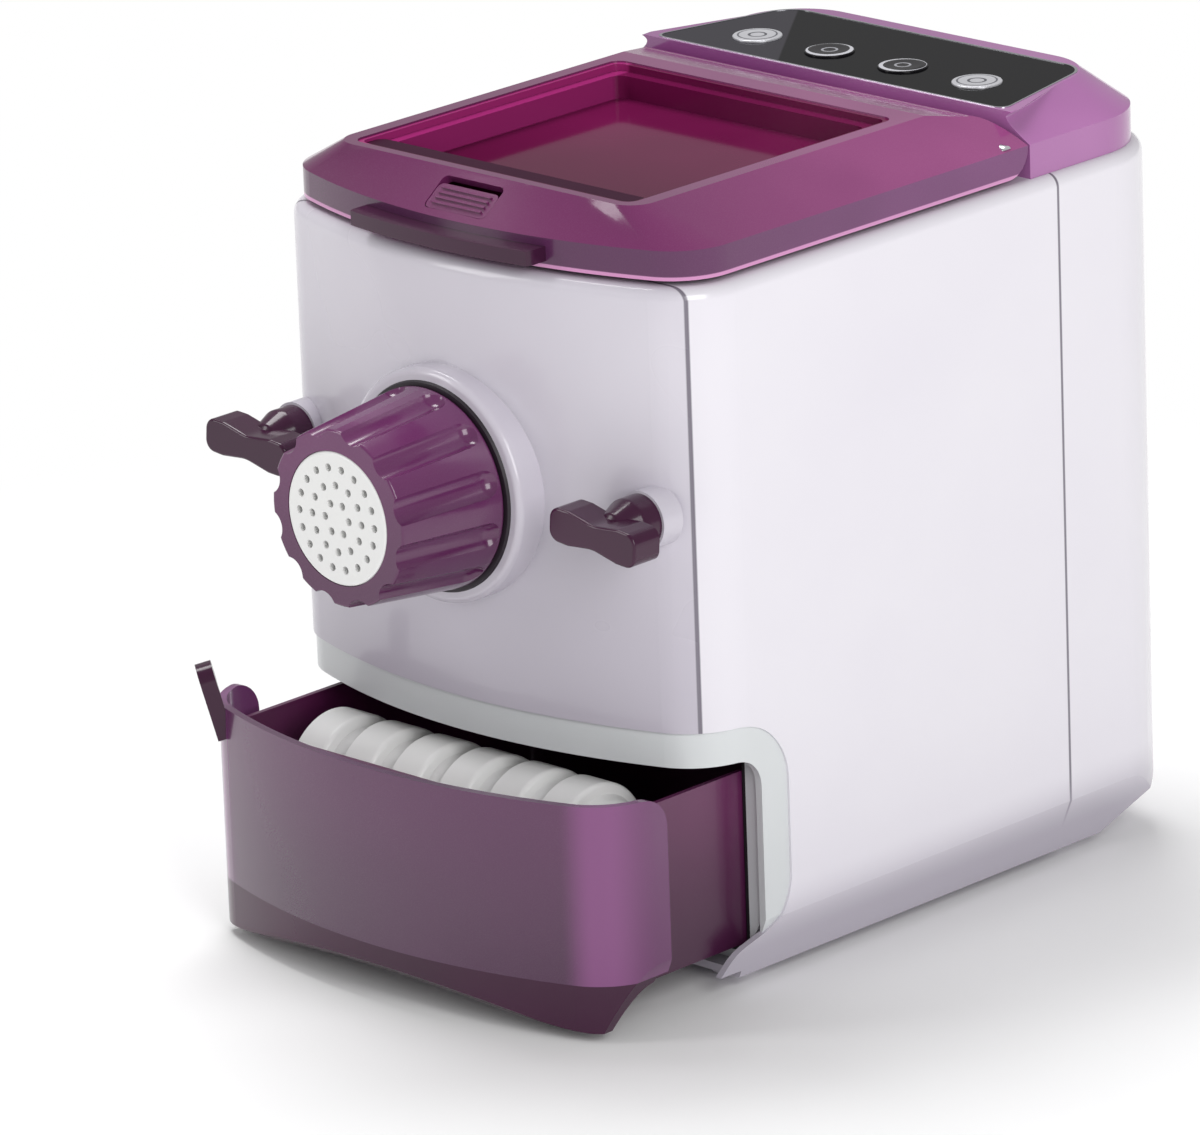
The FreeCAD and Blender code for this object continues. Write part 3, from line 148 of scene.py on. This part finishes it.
def paint_near(group, source, sink, distance, middle, colour):
    """Lays a colour where a distance is within Half Width of its middle, fading over Softness."""
    away = add(group, "ShaderNodeMath", operation="SUBTRACT")
    size_of = add(group, "ShaderNodeMath", operation="ABSOLUTE")
    edge = add(group, "ShaderNodeMath", operation="ADD")
    fall = add(group, "ShaderNodeMapRange", interpolation_type="SMOOTHSTEP")
    put(fall, {"To Min": 1, "To Max": 0})
    mix = add(group, "ShaderNodeMix", data_type="RGBA")
    link = group.links.new
    link(distance, away.inputs[0])
    link(source.outputs[middle], away.inputs[1])
    link(away.outputs[0], size_of.inputs[0])
    link(size_of.outputs[0], fall.inputs["Value"])
    link(source.outputs["Half Width"], fall.inputs["From Min"])
    link(source.outputs["Half Width"], edge.inputs[0])
    link(source.outputs["Softness"], edge.inputs[1])
    link(edge.outputs[0], fall.inputs["From Max"])
    link(fall.outputs["Result"], mix.inputs["Factor"])
    link(source.outputs["Color"], mix.inputs["A"])
    link(source.outputs[colour], mix.inputs["B"])
    link(mix.outputs["Result"], sink.inputs["Color"])


def make_band_group():
    """Colours a band of the surface: its middle and half width are measured along a direction."""
    group, source, sink = new_group(
        "band",
        [("Color", "Color", (0.8, 0.8, 0.8, 1)), ("Band Color", "Color", (0.1, 0.1, 0.1, 1)),
         ("Direction", "Vector", (0, 1, 0)), ("Middle", "Float", 0.0),
         ("Half Width", "Float", 0.0005), ("Softness", "Float", 0.0003)],
        [("Color", "Color")])
    place = add(group, "ShaderNodeTexCoord")
    along = add(group, "ShaderNodeVectorMath", operation="DOT_PRODUCT")
    group.links.new(place.outputs["Object"], along.inputs[0])
    group.links.new(source.outputs["Direction"], along.inputs[1])
    paint_near(group, source, sink, along.outputs["Value"], "Middle", "Band Color")
    return group


def make_ring_group():
    """Colours a ring about an upright axis; the left and right halves of the machine are alike."""
    group, source, sink = new_group(
        "ring",
        [("Color", "Color", (0.1, 0.1, 0.1, 1)), ("Ring Color", "Color", (0.8, 0.8, 0.8, 1)),
         ("Centre", "Vector", (0, 0, 0)), ("Radius", "Float", 0.008),
         ("Half Width", "Float", 0.0005), ("Softness", "Float", 0.0002)],
        [("Color", "Color")])
    place = add(group, "ShaderNodeTexCoord")
    fold = add(group, "ShaderNodeVectorMath", operation="ABSOLUTE")
    shift = add(group, "ShaderNodeVectorMath", operation="SUBTRACT")
    flat = add(group, "ShaderNodeVectorMath", operation="MULTIPLY")
    flat.inputs[1].default_value = (1, 1, 0)
    reach = add(group, "ShaderNodeVectorMath", operation="LENGTH")
    link = group.links.new
    link(place.outputs["Object"], fold.inputs[0])
    link(fold.outputs["Vector"], shift.inputs[0])
    link(source.outputs["Centre"], shift.inputs[1])
    link(shift.outputs["Vector"], flat.inputs[0])
    link(flat.outputs["Vector"], reach.inputs[0])
    paint_near(group, source, sink, reach.outputs["Value"], "Radius", "Ring Color")
    return group


MOULDING = make_moulding_group()
RING = make_ring_group()
LIGHT_FALL = make_light_fall_group()
BAND = make_band_group()


# Places on the machine that the finishes follow

def extent(name, axis):
    """Lowest and highest place of a piece along one axis."""
    low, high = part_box(name)
    return low[axis], high[axis]


def middle(name):
    """Middle of a piece's box."""
    low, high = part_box(name)
    return tuple((a + b) / 2 for a, b in zip(low, high))


front_seam, rear_seam = extent("main_housing", 1)
body_half = extent("main_housing", 0)[1]
rim_low = extent("lid_rim", 2)[0]
window_front, window_rear = extent("lid_window", 1)
window_left = extent("lid_window", 0)[0]
glass_left = extent("control_glass", 0)[0]
outer_key = middle("key_4")
inner_key = middle("key_3")
crescent_inner = (inner_key[0] + 0.8 * MM, inner_key[1] + 0.5 * MM, inner_key[2])


# Finishes

FINISHES = {}


def tint(r, g, b):
    """Screen colour 0-255 as linear light."""
    def linear(c):
        return ((c / 255 + 0.055) / 1.055) ** 2.4 if c > 10 else c / 255 / 12.92
    return linear(r), linear(g), linear(b), 1


def painted_shade_tint(low, high, direction, start, end, flakes):
    """Painted shade and light: the tint turns from the shaded low to the lit high tint between two
    places.
    """
    return {"Low Color": low, "High Color": high, "Direction": direction, "Low": start, "High": end,
            "Flake Amount": flakes}


def band(colour, direction, place, half_width, softness):
    """A coloured band across a direction."""
    return BAND, {"Band Color": colour, "Direction": direction, "Middle": place,
                  "Half Width": half_width, "Softness": softness}


def ring(colour, centre, radius, half_width):
    """A coloured ring about an upright axis."""
    return RING, {"Ring Color": colour, "Centre": centre, "Radius": radius, "Half Width": half_width}


def seam(place):
    """The darker line where the body meets its front or rear panel."""
    return band(tint(120, 114, 126), ALONG, place, half_width=0.35 * MM, softness=0.5 * MM)


def finish(name, colour, second=None, rough=0.25, spread=0.06, grain=900.0, bump=0.02, metal=0.0,
           coat=0.0, through=0.0, shine=0.5, shading=None, marks=()):
    """Principled material with the moulding group; the painted shade ramp and the marks add the other
    groups.
    """
    material = bpy.data.materials.new(name)
    material.use_nodes = True
    tree = material.node_tree
    shader = tree.nodes["Principled BSDF"]
    second = second or tuple(c * SECOND_SHADE for c in colour[:3]) + (1,)
    skin = add(tree, "ShaderNodeGroup",
               {"Color": colour, "Second Color": second, "Grain Scale": grain, "Roughness": rough,
                "Roughness Spread": spread}, node_tree=MOULDING)
    if shading:
        shaded_colour = add(tree, "ShaderNodeGroup", shading, node_tree=LIGHT_FALL)
        tree.links.new(shaded_colour.outputs["Color"], skin.inputs["Color"])
    paint = skin.outputs["Color"]
    for group, sockets in marks:
        mark = add(tree, "ShaderNodeGroup", sockets, node_tree=group)
        tree.links.new(paint, mark.inputs["Color"])
        paint = mark.outputs["Color"]
    tree.links.new(paint, shader.inputs["Base Color"])
    tree.links.new(skin.outputs["Roughness"], shader.inputs["Roughness"])
    relief = add(tree, "ShaderNodeBump", {"Strength": bump, "Distance": GRAIN_DEPTH})
    tree.links.new(skin.outputs["Height"], relief.inputs["Height"])
    tree.links.new(relief.outputs["Normal"], shader.inputs["Normal"])
    put(shader, {"Metallic": metal, "Coat Weight": coat, "Coat Roughness": COAT_ROUGHNESS,
                 "Transmission Weight": through, "Specular IOR Level": shine})
    FINISHES[name] = material


# Body, die drawer and its bay
# The band at floor level on the shell is painted shade: the body turns darker towards the bottom, where
# the lower chamfer faces down.
finish("white_shell", tint(232, 229, 235), tint(224, 220, 229), rough=0.22, coat=0.4,
       marks=(seam(front_seam), seam(rear_seam),
              band(tint(178, 172, 184), UPWARD, 0.0, half_width=14 * MM, softness=26 * MM)))
# The grey panel's tint ramp is painted shade: darker towards the bottom, lighter towards the top.
finish("panel_grey", tint(208, 203, 213), tint(198, 193, 204), rough=0.28, coat=0.35,
       shading=painted_shade_tint(tint(186, 180, 192), tint(222, 218, 226), UPWARD,
                         start=110 * MM, end=262 * MM, flakes=0.02),
       marks=(seam(front_seam),))
finish("frame_grey", tint(218, 221, 222), tint(206, 209, 211), rough=0.32, coat=0.2)
finish("bay_black", tint(20, 16, 22), rough=0.6, spread=0.1, bump=0.2)
finish("runner_white", tint(205, 205, 205), rough=0.5, bump=0.1)
# The tray's tint ramp is painted shade: darker towards the bottom.
finish("tray_plum", tint(98, 30, 82), tint(70, 20, 58), rough=0.3, coat=0.3,
       shading=painted_shade_tint(tint(42, 12, 36), tint(112, 40, 92), UPWARD,
                         start=15 * MM, end=82 * MM, flakes=0.02))
# On the drawer front, the tint ramp is painted shade, darker towards the bottom where the front tucks
# under; the two lighter bands near its ends are painted highlights where the front curves round its
# corners.
finish("drawer_purple", tint(104, 44, 96), tint(78, 28, 72), rough=0.24, coat=0.5,
       shading=painted_shade_tint(tint(54, 16, 50), tint(88, 32, 80), UPWARD,
                         start=25 * MM, end=90 * MM, flakes=0.04),
       marks=(band(tint(126, 66, 120), ACROSS, body_half - 9 * MM, half_width=2 * MM, softness=12 * MM),
              band(tint(126, 68, 122), ACROSS, 9 * MM - body_half, half_width=2 * MM, softness=12 * MM)))
finish("dark_plum", tint(70, 20, 58), tint(44, 10, 36), rough=0.22, coat=0.2, shine=0.35)
finish("die_white", tint(240, 240, 238), tint(226, 226, 226), rough=0.35, coat=0.1)
finish("rubber_grey", tint(224, 220, 228), tint(208, 204, 212), rough=0.5, bump=0.15)
finish("seal_rubber", tint(34, 24, 34), rough=0.5, bump=0.15)

# Mixing chamber, nozzle and drive
finish("chamber_clear", tint(150, 96, 132), rough=0.3)
finish("barrel_white", tint(222, 222, 222), rough=0.35)
finish("collar_silver", tint(214, 209, 219), tint(190, 184, 196), rough=0.22, coat=0.4)
# The cap's tint ramp is painted shade: darker towards the bottom.
finish("cap_purple", tint(104, 42, 96), tint(84, 30, 76), rough=0.2, coat=0.35,
       shading=painted_shade_tint(tint(66, 16, 56), tint(112, 44, 100), UPWARD,
                         start=150 * MM, end=226 * MM, flakes=0.04))
finish("steel", tint(190, 190, 194), tint(170, 170, 174), rough=0.3, metal=1.0, grain=1500, bump=0.1)
finish("gear_nylon", tint(222, 216, 200), rough=0.5, bump=0.1)
finish("case_grey", tint(72, 72, 78), rough=0.6, bump=0.25)
finish("motor_zinc", tint(160, 162, 168), rough=0.35, metal=0.9, bump=0.1)
finish("fan_black", tint(30, 30, 32), rough=0.5, bump=0.15)

# Lid
# The lid's tint ramp is painted light: darker towards the front left, lighter towards the rear right.
finish("lid_purple", tint(150, 66, 128), tint(112, 36, 94), rough=0.16, coat=0.3,
       shading=painted_shade_tint(tint(84, 14, 62), tint(162, 74, 134), (0.55, 0.83, 0),
                         start=-75 * MM, end=105 * MM, flakes=0.06))
# The rim's tint ramp is painted light, darker towards the front left and lighter towards the rear right;
# the pale pink line along its lower edge is painted light showing through the translucent lip.
finish("rim_purple", tint(104, 42, 100), tint(80, 28, 76), rough=0.2, coat=0.25,
       shading=painted_shade_tint(tint(74, 20, 62), tint(132, 66, 126), (0.55, 0.83, 0),
                         start=-90 * MM, end=110 * MM, flakes=0.04),
       marks=(band(tint(206, 140, 188), UPWARD, rim_low, half_width=1.1 * MM, softness=0.5 * MM),))
# In the window, the tint ramp is painted shade, darker towards the front and bottom; the bright magenta
# band near its left edge is a painted highlight with glints on the recess ledge.
finish("wine_window", tint(112, 24, 74), tint(84, 14, 52), rough=0.08, spread=0.02, through=0.1,
       shine=0.06,
       shading=painted_shade_tint(tint(74, 8, 44), tint(132, 28, 88), (0, 1, 0.6),
                         start=window_front + 170 * MM, end=window_rear + 180 * MM, flakes=0.0),
       marks=(band(tint(158, 44, 112), ACROSS, window_left + 4 * MM, half_width=2.5 * MM,
                   softness=2 * MM),))
finish("smoked_strip", tint(62, 14, 46), tint(44, 8, 32), rough=0.45, shine=0.05)
finish("lug_white", tint(222, 220, 224), rough=0.4)

# Console, keys and electronics
# The console's tint ramp is painted light: darker towards the left, lighter towards the right.
finish("console_lilac", tint(160, 96, 156), tint(138, 74, 134), rough=0.22, coat=0.5,
       shading=painted_shade_tint(tint(142, 78, 138), tint(186, 120, 180), ACROSS,
                         start=-60 * MM, end=100 * MM, flakes=0.04))
# The broad grey band on the black glass is a painted reflection of a softbox, running across the glass on
# a slant.
finish("glass_black", tint(8, 8, 10), tint(12, 11, 14), rough=0.12, spread=0.02, shine=0.04, bump=0.004,
       marks=(band(tint(50, 48, 54), (0.8, 0.6, 0), glass_left + 70 * MM, half_width=50 * MM,
                   softness=1 * MM),))
finish("trim_silver", tint(214, 214, 220), rough=0.2, metal=1.0, bump=0.02)
finish("key_silver", tint(216, 216, 220), tint(186, 186, 192), rough=0.3, metal=0.4, grain=1600, bump=0.1,
       marks=(ring(tint(96, 96, 104), outer_key, radius=7.4 * MM, half_width=0.25 * MM),
              ring(tint(88, 88, 96), outer_key, radius=3.2 * MM, half_width=0.4 * MM)))
finish("key_black", tint(24, 22, 26), rough=0.2, shine=0.15,
       marks=(ring(tint(190, 190, 196), inner_key, radius=8.2 * MM, half_width=0.7 * MM),
              ring(tint(24, 22, 26), crescent_inner, radius=6.6 * MM, half_width=1.2 * MM),
              ring(tint(150, 150, 156), inner_key, radius=2.8 * MM, half_width=0.35 * MM)))
finish("board_green", tint(40, 92, 62), rough=0.45, bump=0.1)
finish("switch_black", tint(34, 34, 36), rough=0.5)
finish("component_dark", tint(44, 44, 50), rough=0.4)
finish("pin_brass", tint(206, 182, 110), rough=0.3, metal=1.0)

for part in frame["record"]["subparts"]:
    mesh = nodes[part["node"]].data
    mesh.materials.clear()
    mesh.materials.append(FINISHES[part["material_slot"]])


# Floor

floor_width = 30
shadow_reach = 0.22
paper_reach = 0.6


def floor_paper():
    """White paper that takes the shadow near the machine and fades to plain white further out."""
    material = bpy.data.materials.new("floor_paper")
    material.use_nodes = True
    tree = material.node_tree
    paper = tree.nodes["Principled BSDF"]
    put(paper, {"Base Color": tint(250, 250, 250), "Roughness": 0.7, "Specular IOR Level": 0.2})
    plain = add(tree, "ShaderNodeEmission", {"Color": (1, 1, 1, 1), "Strength": 1})
    place = add(tree, "ShaderNodeTexCoord")
    reach = add(tree, "ShaderNodeVectorMath", operation="LENGTH")
    tree.links.new(place.outputs["Object"], reach.inputs[0])
    fade = remap(tree, reach.outputs["Value"], shadow_reach, paper_reach, 0, 1)
    blend = add(tree, "ShaderNodeMixShader")
    tree.links.new(fade, blend.inputs[0])
    tree.links.new(paper.outputs[0], blend.inputs[1])
    tree.links.new(plain.outputs[0], blend.inputs[2])
    tree.links.new(blend.outputs[0], tree.nodes["Material Output"].inputs["Surface"])
    return material


bpy.ops.mesh.primitive_plane_add(size=floor_width, location=(0, 0, 0))
floor = bpy.context.object
floor.name = "floor"
floor.data.materials.append(floor_paper())


# World: plain white to the camera and through the window, dimmer as light on the machine

fill_light = 0.38
plain_white = 1.0
world = bpy.data.worlds.new("studio")
world.use_nodes = True
bpy.context.scene.world = world
sky = world.node_tree
backdrop = sky.nodes["Background"]
backdrop.inputs["Color"].default_value = (1, 1, 1, 1)
path = add(sky, "ShaderNodeLightPath")
seen = add(sky, "ShaderNodeMath", operation="MAXIMUM")
sky.links.new(path.outputs["Is Camera Ray"], seen.inputs[0])
sky.links.new(path.outputs["Is Transmission Ray"], seen.inputs[1])
strength = remap(sky, seen.outputs[0], 0, 1, fill_light, plain_white)
sky.links.new(strength, backdrop.inputs["Strength"])


# Lamps

def area_light(name, place, aim, width, height, power):
    """Rectangular lamp turned towards its aim."""
    lamp = bpy.data.lights.new(name, "AREA")
    lamp.shape = "RECTANGLE"
    lamp.size = width
    lamp.size_y = height
    lamp.energy = power
    made = bpy.data.objects.new(name, lamp)
    bpy.context.scene.collection.objects.link(made)
    made.location = place
    made.rotation_euler = (Vector(aim) - Vector(place)).to_track_quat("-Z", "Y").to_euler()


body_middle = (0, 0, 0.15)
body_upper = (0, 0, 0.2)
area_light("key_softbox", (1.7, -0.7, 1.0), body_middle, width=1.0, height=1.2, power=20)
area_light("front_softbox", (-1.3, -1.7, 1.0), body_middle, width=0.5, height=1.2, power=9)
area_light("top_softbox", (-0.7, 0.3, 1.8), body_upper, width=1.2, height=0.8, power=24)


# Camera

PHOTO_WIDTH = 1200
azimuth = math.radians(44.53)
elevation = math.radians(17.99)
roll = math.radians(2.12)
focal_pixels = 9580.8
distance = 3.42125
aim = Vector((0.07015, -0.11212, 0.16587))
right = Vector((math.cos(azimuth), math.sin(azimuth), 0))
ahead = Vector((-math.sin(azimuth) * math.cos(elevation), math.cos(azimuth) * math.cos(elevation),
                -math.sin(elevation)))
up = right.cross(ahead)
cam_right = right * math.cos(roll) - up * math.sin(roll)
cam_up = right * math.sin(roll) + up * math.cos(roll)
camera_data = bpy.data.cameras.new("camera")
camera_data.sensor_width = 36
camera_data.lens = focal_pixels / PHOTO_WIDTH * camera_data.sensor_width
camera_data.clip_start = 0.05
camera_data.clip_end = 60
camera = bpy.data.objects.new("camera", camera_data)
bpy.context.scene.collection.objects.link(camera)
camera.matrix_world = Matrix.Translation(aim - ahead * distance) @ Matrix(
    (cam_right, cam_up, -ahead)).transposed().to_4x4()
bpy.context.scene.camera = camera
bpy.context.scene.view_settings.view_transform = "Standard"
